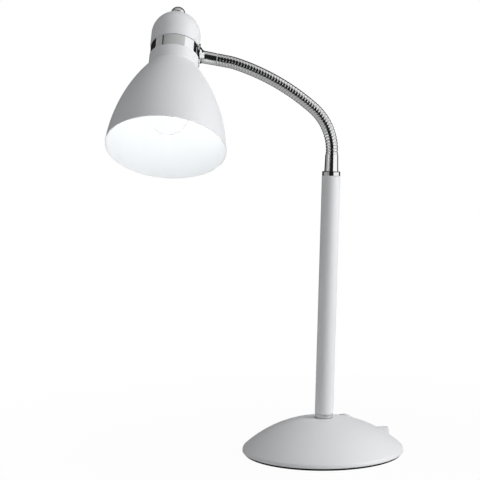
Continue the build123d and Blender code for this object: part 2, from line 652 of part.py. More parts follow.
def bell_radius(drop, inset):
    """Radius of the bell's outer skin, drawn in by an inset, at a drop below the arm's axis."""
    return BELL_CENTRE[0] + math.sqrt((BELL_RADIUS - inset) ** 2 - (-drop - BELL_CENTRE[1]) ** 2)


def bell_arc(top, inset):
    """The bell's arc from a drop near the neck down to the mouth."""
    drops = (top, (top + MOUTH_DROP) / 2, MOUTH_DROP)
    return ThreePointArc(*[(bell_radius(d, inset), -d) for d in drops])


def crease_inside():
    """Drop at which the bell's inner skin leaves the neck's inner wall."""
    reach = NECK_RADIUS - SHEET_WALL - BELL_CENTRE[0]
    return -(BELL_CENTRE[1] + math.sqrt((BELL_RADIUS - SHEET_WALL) ** 2 - reach ** 2))


def shade():
    """Neck with a clamped top plate, and the bell below it, in one sheet."""
    inside = NECK_RADIUS - SHEET_WALL
    hole = THREAD_DIAMETER / 2 + CLEARANCE
    inner_top = crease_inside()
    body = turned(
        Polyline((hole, PLATE_LEVEL), (inside, PLATE_LEVEL), (inside, -BAND_BELOW), (NECK_RADIUS, -BAND_BELOW)),
        Line((NECK_RADIUS, -BAND_BELOW), (NECK_RADIUS, -CREASE_DROP)),
        bell_arc(CREASE_DROP, 0),
        Line((MOUTH_DIAMETER / 2, -MOUTH_DROP), (bell_radius(MOUTH_DROP, SHEET_WALL), -MOUTH_DROP)),
        bell_arc(inner_top, SHEET_WALL),
        Polyline((inside, -inner_top), (inside, HOLDER_TOP), (hole, HOLDER_TOP), (hole, PLATE_LEVEL)),
    )
    lead_hole = Pos(0, LEAD_HOLE_RADIUS, 0) * rod(LEAD_HOLE_DIAMETER, HOLDER_TOP, PLATE_LEVEL)
    return moved(HEAD, body - lead_hole)


def head_band():
    lip = NECK_RADIUS - SHEET_WALL - CLEARANCE
    inside = BAND_DIAMETER / 2 - BAND_WALL
    rib = BAND_DIAMETER / 2
    top = BAND_ABOVE + BAND_LIP
    ring = turned_points([
        (inside, PLATE_LEVEL), (lip, PLATE_LEVEL), (lip, -BAND_BELOW), (rib, -BAND_BELOW),
        (rib, BAND_ABOVE), (lip, BAND_ABOVE), (lip, top), (inside, top),
    ])
    hole = Rot(0, 90, 0) * rod(TAIL_DIAMETER + 2 * CLEARANCE, 0, CAP_DIAMETER)
    return moved(HEAD, ring - hole)


def shade_cap():
    land = CAP_LAND_DIAMETER / 2
    hole = THREAD_DIAMETER / 2 + CLEARANCE
    wall = CAP_RADIUS - SHEET_WALL
    land_angle = math.degrees(math.acos(land / CAP_RADIUS))
    under = CAP_TOP - SHEET_WALL
    inner_angle = math.degrees(math.asin((under - CAP_SHOULDER) / wall))
    inner_land = wall * math.cos(math.radians(inner_angle))
    body = turned(
        Line((CAP_RADIUS, BAND_ABOVE), (CAP_RADIUS, CAP_SHOULDER)),
        CenterArc((0, CAP_SHOULDER), CAP_RADIUS, 0, land_angle),
        Polyline((land, CAP_TOP), (hole, CAP_TOP), (hole, under), (inner_land, under)),
        CenterArc((0, CAP_SHOULDER), wall, 0, inner_angle),
        Polyline((wall, CAP_SHOULDER), (wall, BAND_ABOVE), (CAP_RADIUS, BAND_ABOVE)),
    )
    return moved(HEAD, body)


def finial():
    radius = FINIAL_DIAMETER / 2
    ball = Pos(0, 0, FINIAL_FOOT + FINIAL_SINK) * Sphere(radius)
    ball -= rod(2 * FINIAL_DIAMETER, FINIAL_FOOT - FINIAL_DIAMETER, FINIAL_FOOT)
    return moved(HEAD, ball - rod(THREAD_ROOM, FINIAL_FOOT, FINIAL_FOOT + FINIAL_THREAD + CLEARANCE))


def head_stack():
    """Turned pieces on the head's axis that clamp the shade, band, cap and lampholder, by name."""
    shoulder = HOLDER_TOP - HOLDER_SHOULDER
    mouth = HOLDER_TOP - HOLDER_LENGTH
    room = SOCKET_DIAMETER / 2 + SOCKET_WALL + CLEARANCE
    body = turned_points([
        (THREAD_ROOM / 2, HOLDER_TOP), (HOLDER_DIAMETER / 2 - HOLDER_SHOULDER / 2, HOLDER_TOP),
        (HOLDER_DIAMETER / 2, shoulder), (HOLDER_DIAMETER / 2, mouth), (room, mouth),
        (room, HOLDER_FLOOR), (THREAD_ROOM / 2, HOLDER_FLOOR),
    ])
    lead_way = Pos(0, LEAD_HOLE_RADIUS, 0) * rod(LEAD_HOLE_DIAMETER, HOLDER_FLOOR, HOLDER_TOP)
    socket = SOCKET_DIAMETER + 2 * SOCKET_WALL
    nut_top = PLATE_LEVEL + THREAD_NUT_THICKNESS
    nipple_low = HOLDER_TOP - HOLDER_THREAD
    parts = {
        "finial_washer": tube(CAP_LAND_DIAMETER, THREAD_ROOM, CAP_TOP, FINIAL_FOOT),
        "head_nipple": tube(THREAD_DIAMETER, THREAD_BORE, nipple_low, FINIAL_FOOT + FINIAL_THREAD),
        "nipple_nut": hex_nut(THREAD_NUT_FLATS, THREAD_ROOM, PLATE_LEVEL, nut_top),
        "holder_body": body - lead_way,
        "holder_screw_shell": tube(socket, SOCKET_DIAMETER, HOLDER_FLOOR - SOCKET_LENGTH, HOLDER_FLOOR),
    }
    return {name: moved(HEAD, shape) for name, shape in parts.items()}


def holder_contact():
    """Springy centre tongue: a foot on the socket's floor, bent back over itself to meet the bulb."""
    inner = CONTACT_REACH - CONTACT_THICKNESS
    low = HOLDER_FLOOR - CONTACT_THICKNESS
    knee = low - CONTACT_KNEE
    tip = low - CONTACT_RISE
    back = tip + CONTACT_THICKNESS
    strip = Polyline(
        (-CONTACT_REACH, HOLDER_FLOOR), (CONTACT_REACH, HOLDER_FLOOR), (CONTACT_REACH, knee), (0, tip),
        (-CONTACT_PAD, tip), (-CONTACT_PAD, back), (0, back), (inner, knee + CONTACT_THICKNESS), (inner, low),
        (-CONTACT_REACH, low), close=True,
    )
    return moved(HEAD, extrude(Plane.XZ * make_face(strip), CONTACT_WIDTH / 2, both=True))


def holder_leads():
    """Two leads from the ferrule's tail, over the nipple's nut, down to the lampholder."""
    leads = []
    high = PLATE_LEVEL + 2 * THREAD_NUT_THICKNESS
    for side in (-1, 1):
        shift = side * LEAD_SPACING / 2
        start = (ARM_REACH - TAIL_END - LEAD_DIAMETER, shift, 0)
        over = (LEAD_HOLE_RADIUS / 2, LEAD_LOOP, high - LEAD_DIAMETER)
        down = (shift, LEAD_HOLE_RADIUS, PLATE_LEVEL)
        end = (shift, LEAD_HOLE_RADIUS, HOLDER_FLOOR + LEAD_DIAMETER)
        path = FilletPolyline(start, over, down, end, radius=LEAD_DIAMETER)
        leads.append(sweep(Plane(path @ 0, z_dir=path % 0) * Circle(LEAD_DIAMETER / 2), path))
    return moved(HEAD, Compound(children=leads))


# Bulb levels, in the head's frame, going down from the tip
INSULATOR_TOP = BULB_TIP - BULB_TIP_HEIGHT
CAP_START = INSULATOR_TOP - BULB_INSULATOR_LENGTH
CAP_END = CAP_START - BULB_CAP_LENGTH
BULB_CENTRE = -BULB_CENTRE_DROP
BULB_RADIUS = BULB_DIAMETER / 2
BULB_CAP_INSIDE = BULB_CAP_DIAMETER / 2 - BULB_THREAD_DEPTH - BULB_CAP_WALL
BULB_COLLAR = BULB_COLLAR_DIAMETER / 2
CAP_SHOULDER_LOW = CAP_START - BULB_CAP_SHOULDER
GLASS_START = CAP_SHOULDER_LOW - BULB_CAP_WALL - FACE_GAP


def bulb_cap():
    """Screw cap of thin sheet, its thread as rounded rings."""
    crest = BULB_CAP_DIAMETER / 2
    root = crest - BULB_THREAD_DEPTH
    outside = [(BULB_COLLAR, CAP_START), (root, CAP_SHOULDER_LOW)]
    for ring in range(BULB_THREADS):
        low = CAP_START - BULB_THREAD_LEAD - BULB_THREAD_PITCH * ring
        outside += [(root, low), (crest, low - 2 * BULB_THREAD_DEPTH), (root, low - 4 * BULB_THREAD_DEPTH)]
    inside = [(BULB_CAP_INSIDE, CAP_END), (BULB_CAP_INSIDE, CAP_SHOULDER_LOW - BULB_CAP_WALL)]
    return turned_points(outside + [(root, CAP_END)] + inside + [(BULB_COLLAR, CAP_START - BULB_CAP_WALL)])


def bulb_glass():
    """Hollow envelope: neck in the cap, a sweep out to the ball, and the ball."""
    def outline(inset):
        ball = BULB_RADIUS - inset
        neck = BULB_NECK_DIAMETER / 2 - inset
        shoulder = math.radians(BULB_SHOULDER_ANGLE)
        meet = (ball * math.cos(shoulder), BULB_CENTRE + ball * math.sin(shoulder))
        slopes = ((0, -1), (math.sin(shoulder), -math.cos(shoulder)))
        curve = Spline((neck, CAP_END), meet, tangents=slopes)
        return neck, ball, curve

    sweep_angle = 90 + BULB_SHOULDER_ANGLE
    neck, ball, outer = outline(0)
    slim, hollow, inner = outline(BULB_WALL)
    glass = turned(
        Line((neck, GLASS_START - FACE_GAP), (neck, CAP_END)),
        outer,
        CenterArc((0, BULB_CENTRE), ball, -90, sweep_angle),
        Line((0, BULB_CENTRE - ball), (0, BULB_CENTRE - hollow)),
        CenterArc((0, BULB_CENTRE), hollow, -90, sweep_angle),
        inner,
        Line((slim, CAP_END), (slim, GLASS_START - FACE_GAP)),
        Line((slim, GLASS_START - FACE_GAP), (neck, GLASS_START - FACE_GAP)),
    )
    return glass


def bulb_parts():
    """The bulb's pieces by name: cap, insulator, tip, glass, mount, wires and filament."""
    mount_low = -FILAMENT_DROP + FILAMENT_RADIUS
    slim = BULB_NECK_DIAMETER / 2 - BULB_WALL - FIT
    stalk = BULB_MOUNT_DIAMETER / 2
    flare = GLASS_START - 2 * FACE_GAP
    mount = turned_points([
        (0, flare), (slim, flare), (slim, flare - BULB_WALL), (stalk, flare - BULB_MOUNT_DIAMETER),
        (stalk, mount_low), (0, mount_low),
    ])
    above_mount = rod(BULB_DIAMETER, mount_low, flare)
    wires = []
    for side in (-1, 1):
        foot = Vector(side * SUPPORT_SPACING / 2, 0, mount_low)
        tip = Vector(side * FILAMENT_RADIUS, 0, -FILAMENT_DROP)
        slant = (tip - foot).normalized()
        root = foot - slant * SUPPORT_WIRE
        wire = Solid.make_cylinder(SUPPORT_WIRE / 2, (tip - root).length, Plane(root, z_dir=slant))
        wires.append(wire - above_mount)
    arc = CenterArc((0, 0), FILAMENT_RADIUS - SUPPORT_WIRE, 180, 180)
    drawn = Plane((0, 0, -FILAMENT_DROP - SUPPORT_WIRE), x_dir=(1, 0, 0), z_dir=(0, -1, 0)) * arc
    filament = sweep(Plane(drawn @ 0, z_dir=drawn % 0) * Circle(FILAMENT_WIRE / 2), drawn)
    insulator = Cone(BULB_COLLAR, BULB_TIP_DIAMETER / 2, BULB_INSULATOR_LENGTH, align=UP)
    parts = {
        "bulb_tip": rod(BULB_TIP_DIAMETER, INSULATOR_TOP, BULB_TIP),
        "bulb_insulator": Pos(0, 0, CAP_START) * insulator,
        "bulb_cap": bulb_cap(),
        "bulb_glass": bulb_glass(),
        "bulb_mount": mount,
        "bulb_wires": Compound(children=wires),
        "bulb_filament": filament,
    }
    return {name: moved(HEAD, shape) for name, shape in parts.items()}


def lamp():
    """Every node of the lamp by name."""
    nodes = {
        "base_shell": base_shell(),
        "bottom_plate": bottom_plate(),
        "base_weight": base_weight(),
        "base_pad": base_pad(),
        "base_screws": Compound(children=[moved(place, screw()) for place in POSTS + WEIGHT_HOLES]),
        "cord_bush": cord_bush(),
        "terminal_block": terminal_block(),
        "terminal_screws": terminal_screws(),
        "switch_body": switch_body(),
        "switch_bezel": switch_bezel(),
        "switch_button": switch_button(),
    }
    nodes.update({name: moved(STEM, shape) for name, shape in stem_parts().items()})
    nodes.update({f"gooseneck_{k}": gooseneck_link(k) for k in range(1, LINKS + 1)})
    nodes["neck_end_plug"] = neck_end_plug()
    nodes["swivel_washer"] = swivel_washer()
    nodes["swivel_clip"] = swivel_clip()
    nodes["upper_ferrule"] = upper_ferrule()
    nodes["ferrule_washer"] = ferrule_washer()
    nodes["ferrule_nut"] = ferrule_nut()
    nodes["head_band"] = head_band()
    nodes["shade"] = shade()
    nodes["shade_cap"] = shade_cap()
    nodes["finial"] = finial()
    nodes.update(head_stack())
    nodes["holder_contact"] = holder_contact()
    nodes["holder_leads"] = holder_leads()
    nodes.update(bulb_parts())
    return nodes


os.makedirs("parts", exist_ok=True)
for node, solid in lamp().items():
    export_step(solid, f"parts/{node}.step")
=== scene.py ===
import math

import bpy
from mathutils import Matrix, Vector


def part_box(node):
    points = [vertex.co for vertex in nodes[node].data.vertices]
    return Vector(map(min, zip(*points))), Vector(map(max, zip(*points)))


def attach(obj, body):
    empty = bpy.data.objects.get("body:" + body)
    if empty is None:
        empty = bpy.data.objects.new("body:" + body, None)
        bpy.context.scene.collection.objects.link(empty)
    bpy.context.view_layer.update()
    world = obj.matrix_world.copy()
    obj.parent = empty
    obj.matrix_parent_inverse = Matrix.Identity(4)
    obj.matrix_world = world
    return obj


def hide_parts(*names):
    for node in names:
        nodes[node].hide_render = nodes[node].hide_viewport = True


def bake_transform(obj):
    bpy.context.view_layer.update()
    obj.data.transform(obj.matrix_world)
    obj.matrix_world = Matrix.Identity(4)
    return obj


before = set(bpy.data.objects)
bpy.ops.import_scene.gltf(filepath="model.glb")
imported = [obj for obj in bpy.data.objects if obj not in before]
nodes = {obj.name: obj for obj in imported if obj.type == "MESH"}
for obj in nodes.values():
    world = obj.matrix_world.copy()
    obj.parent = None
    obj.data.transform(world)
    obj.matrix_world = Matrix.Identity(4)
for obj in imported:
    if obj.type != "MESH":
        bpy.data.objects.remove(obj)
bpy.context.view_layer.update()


# Stage: a pale floor in an even white surround, with one large soft light from the right.
# Black and grey cards that only reflections see give the chrome its dark stripes and edges.
# The camera looks from a little left of square to the lamp, nearly level.
CAMERA_DISTANCE = 1.342
CAMERA_HEIGHT = 0.3202
CAMERA_TURN = math.radians(14.0)
CAMERA_PITCH = math.radians(3.81)
CAMERA_SENSOR = 36.0
CAMERA_LENS = 93.6
CAMERA_SHIFT = -0.1726
CAMERA_REACH = 50.0
RIGHT = Vector((math.cos(CAMERA_TURN), -math.sin(CAMERA_TURN), 0.0))
AWAY = Vector((math.sin(CAMERA_TURN), math.cos(CAMERA_TURN), 0.0))
UP = Vector((0.0, 0.0, 1.0))


def stage_place(right, away, up):
    """Point on the stage, given as the camera sees it."""
    return RIGHT * right + AWAY * away + UP * up


scene = bpy.context.scene
scene.view_settings.view_transform = "Standard"

bpy.ops.object.select_all(action="DESELECT")
bpy.ops.object.camera_add()
camera = bpy.context.object
camera.name = "photo_camera"
camera.location = stage_place(0.0, -CAMERA_DISTANCE, CAMERA_HEIGHT)
camera.rotation_euler = (math.pi / 2 - CAMERA_PITCH, 0.0, -CAMERA_TURN)
camera.data.sensor_width = CAMERA_SENSOR
camera.data.lens = CAMERA_LENS
camera.data.shift_x = CAMERA_SHIFT
camera.data.clip_end = CAMERA_REACH
scene.camera = camera

KEY_PLACE = stage_place(1.4, -0.4, 0.95)
KEY_SIZE = (0.9, 1.1)
KEY_POWER = 20.0
LIGHT_AIM = Vector((-0.05, 0.0, 0.25))

bpy.ops.object.light_add(type="AREA", location=KEY_PLACE)
key_light = bpy.context.object
key_light.name = "key_light"
key_light.data.shape = "RECTANGLE"
key_light.data.size = KEY_SIZE[0]
key_light.data.size_y = KEY_SIZE[1]
key_light.data.energy = KEY_POWER
key_light.rotation_euler = (LIGHT_AIM - KEY_PLACE).to_track_quat("-Z", "Y").to_euler()

AMBIENT = 0.355


def shown_rays(tree):
    """Socket that is 1 where the camera, a reflection or the glass looks, and 0 for falling light."""
    path = tree.nodes.new("ShaderNodeLightPath")
    shown = path.outputs["Is Camera Ray"]
    for ray in ("Is Glossy Ray", "Is Transmission Ray"):
        either = tree.nodes.new("ShaderNodeMath")
        either.operation = "MAXIMUM"
        tree.links.new(shown, either.inputs[0])
        tree.links.new(path.outputs[ray], either.inputs[1])
        shown = either.outputs[0]
    return shown


world = bpy.data.worlds.new("white_surround")
scene.world = world
world.use_nodes = True
surround = world.node_tree
level = surround.nodes.new("ShaderNodeMapRange")
level.inputs["To Min"].default_value = AMBIENT
level.inputs["To Max"].default_value = 1.0
surround.links.new(shown_rays(surround), level.inputs["Value"])
backdrop = surround.nodes["Background"]
backdrop.inputs["Color"].default_value = (1.0, 1.0, 1.0, 1.0)
surround.links.new(level.outputs["Result"], backdrop.inputs["Strength"])


def principled(material):
    """Main shader of a material."""
    return material.node_tree.nodes["Principled BSDF"]


def new_material(name, colour, roughness, metallic=0.0):
    """Material of one colour and roughness."""
    material = bpy.data.materials.new(name)
    material.use_nodes = True
    shader = principled(material)
    shader.inputs["Base Color"].default_value = (*colour, 1.0)
    shader.inputs["Roughness"].default_value = roughness
    shader.inputs["Metallic"].default_value = metallic
    return material


FLOOR_SIZE = 12.0
FLOOR_COLOUR = (0.6, 0.6, 0.6)
FLOOR_ROUGHNESS = 0.9
FLOOR_WHITE_NEAR = 0.97
FLOOR_FADE = (0.2, 0.55)

bpy.ops.mesh.primitive_plane_add(size=FLOOR_SIZE)
floor = bpy.context.object
floor.name = "floor"
floor_finish = new_material("pale_floor", FLOOR_COLOUR, FLOOR_ROUGHNESS)
tree = floor_finish.node_tree
spot = tree.nodes.new("ShaderNodeTexCoord")
reach = tree.nodes.new("ShaderNodeVectorMath")
reach.operation = "LENGTH"
tree.links.new(spot.outputs["Object"], reach.inputs[0])
white = tree.nodes.new("ShaderNodeMapRange")
white.inputs["From Min"].default_value = FLOOR_FADE[0]
white.inputs["From Max"].default_value = FLOOR_FADE[1]
white.inputs["To Min"].default_value = FLOOR_WHITE_NEAR
white.inputs["To Max"].default_value = 1.0
tree.links.new(reach.outputs["Value"], white.inputs["Value"])
share = tree.nodes.new("ShaderNodeMath")
share.operation = "MULTIPLY"
tree.links.new(shown_rays(tree), share.inputs[0])
tree.links.new(white.outputs["Result"], share.inputs[1])
glow = tree.nodes.new("ShaderNodeEmission")
mixed = tree.nodes.new("ShaderNodeMixShader")
tree.links.new(share.outputs[0], mixed.inputs["Fac"])
tree.links.new(principled(floor_finish).outputs[0], mixed.inputs[1])
tree.links.new(glow.outputs[0], mixed.inputs[2])
tree.links.new(mixed.outputs[0], tree.nodes["Material Output"].inputs["Surface"])
floor.data.materials.append(floor_finish)

CARD_BLACK = 0.015
CARD_LEFT = 0.3
CARD_FLOOR = 0.42
CARD_RIGHT = 0.6
CARD_WHITE = 1.0
CARD_ABOVE = (0.25, 0.617)
CARD_SIDE = 1.0


def card_tone(name, tone):
    """Material of a reflection card, which shows one even tone."""
    material = bpy.data.materials.new(name)
    material.use_nodes = True
    tree = material.node_tree
    glow = tree.nodes.new("ShaderNodeEmission")
    glow.inputs["Color"].default_value = (tone, tone, tone, 1.0)
    tree.links.new(glow.outputs[0], tree.nodes["Material Output"].inputs["Surface"])
    return material


black_card = card_tone("black_card", CARD_BLACK)
left_card = card_tone("left_card", CARD_LEFT)
floor_card = card_tone("floor_card", CARD_FLOOR)
right_card = card_tone("right_card", CARD_RIGHT)
above_card = card_tone("above_card", CARD_WHITE)
tree = above_card.node_tree
spot = tree.nodes.new("ShaderNodeTexCoord")
across = tree.nodes.new("ShaderNodeSeparateXYZ")
tree.links.new(spot.outputs["Object"], across.inputs[0])
fade = tree.nodes.new("ShaderNodeMapRange")
fade.inputs["From Min"].default_value = -CARD_SIDE / 2
fade.inputs["From Max"].default_value = CARD_SIDE / 2
fade.inputs["To Min"].default_value = CARD_ABOVE[0]
fade.inputs["To Max"].default_value = CARD_ABOVE[1]
tree.links.new(across.outputs["X"], fade.inputs["Value"])
tree.links.new(fade.outputs["Result"], tree.nodes["Emission"].inputs["Strength"])


def reflection_card(name, material, place, turn, width, height):
    """Flat card on the stage that is seen in reflections alone, its front turned by Euler angles."""
    bpy.ops.mesh.primitive_plane_add(size=CARD_SIDE, location=place, rotation=turn)
    card = bpy.context.object
    card.name = name
    card.scale = (width, height, 1.0)
    card.visible_camera = False
    card.visible_diffuse = False
    card.visible_transmission = False
    card.visible_volume_scatter = False
    card.visible_shadow = False
    card.data.materials.append(material)


def upright(azimuth):
    """Turn of an upright card that stands at an azimuth round the lamp, counted from the camera."""
    return (math.pi / 2, 0.0, azimuth - CAMERA_TURN)


def facing_card(name, material, away, across, upward):
    """Card square to the camera's view, given by its edges."""
    place = stage_place(sum(across) / 2, away, sum(upward) / 2)
    reflection_card(name, material, place, upright(0.0), across[1] - across[0], upward[1] - upward[0])


def level_card(name, material, height, across, along):
    """Card that lies on the floor or hangs overhead, given by its edges."""
    place = stage_place(sum(across) / 2, sum(along) / 2, height)
    lying = (0.0, 0.0, -CAMERA_TURN)
    reflection_card(name, material, place, lying, across[1] - across[0], along[1] - along[0])


def ring_card(name, azimuth, width, height):
    """Black card that stands on the floor behind the lamp, at an azimuth counted from the camera."""
    place = stage_place(RING_RADIUS * math.sin(azimuth), -RING_RADIUS * math.cos(azimuth), height / 2)
    reflection_card(name, black_card, place, upright(azimuth), width, height)


FRONT = -0.75
BACK = 1.0
LEFT = -1.5
LEFT_CARD_REACH = (-2.8, 0.55)
CEILING = 1.7
CEILING_REACH = (-1.2, 0.6)
SEAM_RISE = 0.005
CARD_LIFT = 0.002
FLOOR_WIDTH = (-0.9, 0.9)
FLOOR_NEAR = -0.58
FLOOR_FAR = 0.425
BACK_WIDTH = (-1.5, 1.5)
BACK_FLOOR_REACH = (0.45, 1.75)
RING_RADIUS = 1.0
EDGE_HEIGHT = 1.6
KEY_CARD_GAP = 0.03

facing_card("card_front", black_card, FRONT, across=(-0.375, 0.445), upward=(0.01, 1.5))
facing_card("card_front_high", black_card, FRONT, across=(0.39, 0.75), upward=(0.45, 1.95))
facing_card("card_right_high", right_card, FRONT, across=(0.75, 1.35), upward=(0.75, 2.05))
key_card_place = KEY_PLACE.lerp(LIGHT_AIM, KEY_CARD_GAP)
reflection_card("card_key", right_card, key_card_place, key_light.rotation_euler, *KEY_SIZE)
left_card_place = stage_place(LEFT, sum(LEFT_CARD_REACH) / 2, CEILING / 2)
left_card_width = LEFT_CARD_REACH[1] - LEFT_CARD_REACH[0]
reflection_card("card_left", left_card, left_card_place, upright(-math.pi / 2), left_card_width, CEILING)
level_card("card_left_high", left_card, CEILING, across=(-1.51, -1.31), along=CEILING_REACH)
level_card("card_seam", black_card, CEILING + SEAM_RISE, across=(-1.32, -1.16), along=CEILING_REACH)
level_card("card_above", above_card, CEILING, across=(-1.17, 1.0), along=CEILING_REACH)
ring_card("card_left_edge", math.radians(-140), width=1.2, height=EDGE_HEIGHT)
ring_card("card_right_edge", math.radians(156), width=0.57, height=EDGE_HEIGHT)
ring_card("card_right_low", math.radians(139), width=0.9, height=0.55)
facing_card("card_back_above", black_card, BACK, across=BACK_WIDTH, upward=(0.7, 2.8))
level_card("card_floor", floor_card, CARD_LIFT, across=FLOOR_WIDTH, along=(FLOOR_NEAR, FLOOR_FAR))
level_card("card_front_floor", black_card, CARD_LIFT, across=FLOOR_WIDTH, along=(FRONT, FLOOR_NEAR))
level_card("card_back_floor", black_card, CARD_LIFT, across=BACK_WIDTH, along=BACK_FLOOR_REACH)


# Foot pad: a disc of solid black rubber stuck under the base, its edge just showing
# below the dome. Its rims are slightly rounded and its skin is matt and finely pitted.
PAD_SIDES = 160
PAD_ROUNDING = 0.0005
PAD_ROUND_STEPS = 3
PAD_SMOOTHING = math.radians(40)
PAD_SPECULAR = 0.1
CLOUD_DETAIL = 3.0
GRAIN_DETAIL = 2.0


def skin_variation():
    """Shader group: slow cloudiness of a finish, and the fine grain on it, both from 0 to 1."""
    group = bpy.data.node_groups.new("skin_variation", "ShaderNodeTree")
    for effect in ("Cloud", "Grain"):
        group.interface.new_socket(f"{effect} Scale", in_out="INPUT", socket_type="NodeSocketFloat")
        group.interface.new_socket(effect, in_out="OUTPUT", socket_type="NodeSocketFloat")
    start = group.nodes.new("NodeGroupInput")
    end = group.nodes.new("NodeGroupOutput")
    place = group.nodes.new("ShaderNodeTexCoord")
    for effect, detail in (("Cloud", CLOUD_DETAIL), ("Grain", GRAIN_DETAIL)):
        noise = group.nodes.new("ShaderNodeTexNoise")
        noise.inputs["Detail"].default_value = detail
        group.links.new(place.outputs["Object"], noise.inputs["Vector"])
        group.links.new(start.outputs[f"{effect} Scale"], noise.inputs["Scale"])
        group.links.new(noise.outputs["Fac"], end.inputs[effect])
    return group


skin = skin_variation()


def finish(name, dark, pale, rough, cloud, grain, bump, metallic=0.0):
    """Material whose colour and roughness drift with the cloud and whose surface has the grain.

    cloud and grain are the scales of the two, and bump is the grain's strength and depth.
    """
    material = new_material(name, pale, rough[0], metallic)
    tree = material.node_tree
    shader = principled(material)
    effect = tree.nodes.new("ShaderNodeGroup")
    effect.node_tree = skin
    effect.inputs["Cloud Scale"].default_value = cloud
    effect.inputs["Grain Scale"].default_value = grain
    tint = tree.nodes.new("ShaderNodeMix")
    tint.data_type = "RGBA"
    tint.inputs["A"].default_value = (*dark, 1.0)
    tint.inputs["B"].default_value = (*pale, 1.0)
    tree.links.new(effect.outputs["Cloud"], tint.inputs["Factor"])
    tree.links.new(tint.outputs["Result"], shader.inputs["Base Color"])
    gloss = tree.nodes.new("ShaderNodeMapRange")
    gloss.inputs["To Min"].default_value = rough[0]
    gloss.inputs["To Max"].default_value = rough[1]
    tree.links.new(effect.outputs["Cloud"], gloss.inputs["Value"])
    tree.links.new(gloss.outputs["Result"], shader.inputs["Roughness"])
    relief = tree.nodes.new("ShaderNodeBump")
    relief.inputs["Strength"].default_value = bump[0]
    relief.inputs["Distance"].default_value = bump[1]
    tree.links.new(effect.outputs["Grain"], relief.inputs["Height"])
    tree.links.new(relief.outputs["Normal"], shader.inputs["Normal"])
    return material


def dress(material, *names):
    """Gives CAD nodes their finish."""
    for name in names:
        nodes[name].data.materials.clear()
        nodes[name].data.materials.append(material)


def add_modifier(piece, kind, **settings):
    """Adds a modifier with its settings and applies it."""
    bpy.context.view_layer.objects.active = piece
    modifier = piece.modifiers.new(kind.lower(), kind)
    for key, value in settings.items():
        setattr(modifier, key, value)
    bpy.ops.object.modifier_apply(modifier=modifier.name)


pad_rubber = finish(
    "pad_rubber", (0.012, 0.012, 0.013), (0.024, 0.024, 0.025),
    rough=(0.75, 0.9), cloud=60.0, grain=1500.0, bump=(0.4, 0.0002),
)
principled(pad_rubber).inputs["Specular IOR Level"].default_value = PAD_SPECULAR
pad_low, pad_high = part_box("base_pad")
bpy.ops.object.select_all(action="DESELECT")
bpy.ops.mesh.primitive_cylinder_add(
    vertices=PAD_SIDES,
    radius=(pad_high.x - pad_low.x) / 2,
    depth=pad_high.z - pad_low.z,
    location=(0.0, 0.0, (pad_low.z + pad_high.z) / 2),
)
foot_pad = bpy.context.object
foot_pad.name = "foot_pad"
bpy.ops.object.transform_apply(location=True)
add_modifier(foot_pad, "BEVEL", width=PAD_ROUNDING, segments=PAD_ROUND_STEPS, limit_method="ANGLE")
bpy.ops.object.shade_smooth_by_angle(angle=PAD_SMOOTHING)
foot_pad.data.materials.append(pad_rubber)
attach(foot_pad, "base")
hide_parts("base_pad")


# Base: a pressed steel dome in satin white enamel over a cast weight, closed below by a
# plate. The enamel has a faint orange peel and a very slight drift in its gloss.
enamel = finish(
    "white_enamel", (0.825, 0.835, 0.856), (0.852, 0.861, 0.882),
    rough=(0.44, 0.52), cloud=9.0, grain=650.0, bump=(0.12, 0.0001),
)
dress(enamel, "base_shell")
cast_iron = finish(
    "cast_iron", (0.05, 0.05, 0.05), (0.12, 0.115, 0.11),
    rough=(0.65, 0.85), cloud=40.0, grain=500.0, bump=(0.6, 0.0004), metallic=0.6,
)
dress(cast_iron, "base_weight")
zinc = finish(
    "zinc_plate", (0.46, 0.46, 0.45), (0.62, 0.62, 0.6),
    rough=(0.28, 0.42), cloud=80.0, grain=1800.0, bump=(0.15, 0.0001), metallic=1.0,
)
dress(
    zinc, "bottom_plate", "base_screws", "stem_nut", "stem_lock_washer", "stem_nipple", "stem_lower_bush",
    "stem_upper_bush", "terminal_screws", "neck_end_plug", "swivel_clip", "ferrule_washer", "ferrule_nut",
    "head_nipple", "nipple_nut",
)


# Cord bush and switch: moulded in white plastic to match the enamel, the bush clipped
# in the shell's edge and the switch held by its round bezel nut.
plastic = finish(
    "white_plastic", (0.74, 0.75, 0.765), (0.77, 0.78, 0.795),
    rough=(0.46, 0.54), cloud=30.0, grain=1200.0, bump=(0.05, 0.00005),
)
dress(plastic, "cord_bush", "switch_body", "switch_bezel", "switch_button", "terminal_block")


# Stem: a straight steel tube in the same enamel between two chromed rings, with a
# chromed ferrule above that takes the hose. The lamp's cable runs up inside it.
CHROME_CLOUD = 70.0
CHROME_GRAIN = 2500.0
CHROME_BUMP = (0.02, 0.00003)

dress(enamel, "stem_tube")
chrome = finish(
    "bright_chrome", (0.86, 0.865, 0.875), (0.92, 0.92, 0.925),
    rough=(0.05, 0.1), cloud=CHROME_CLOUD, grain=CHROME_GRAIN, bump=CHROME_BUMP, metallic=1.0,
)
dress(chrome, "lower_ferrule")
sheath = finish(
    "cable_sheath", (0.72, 0.72, 0.7), (0.8, 0.8, 0.78),
    rough=(0.5, 0.65), cloud=60.0, grain=900.0, bump=(0.2, 0.0001),
)
dress(sheath, "stem_cable", "holder_leads")


# Rings: duller chrome than the ferrule, each with a painted shadow line in the seam
# where it meets its neighbour, a darker colour that stands in for the shade of the joint.
STEM_LEAN = math.radians(1.75)
STEM_AXIS = Vector((math.sin(STEM_LEAN), 0.0, math.cos(STEM_LEAN)))
RING_ROUGH = (0.08, 0.14)
# Height and fade of the painted shadow line along each ring's seam.
SEAM_HEIGHT = 0.0007
SEAM_FADE = 0.0004


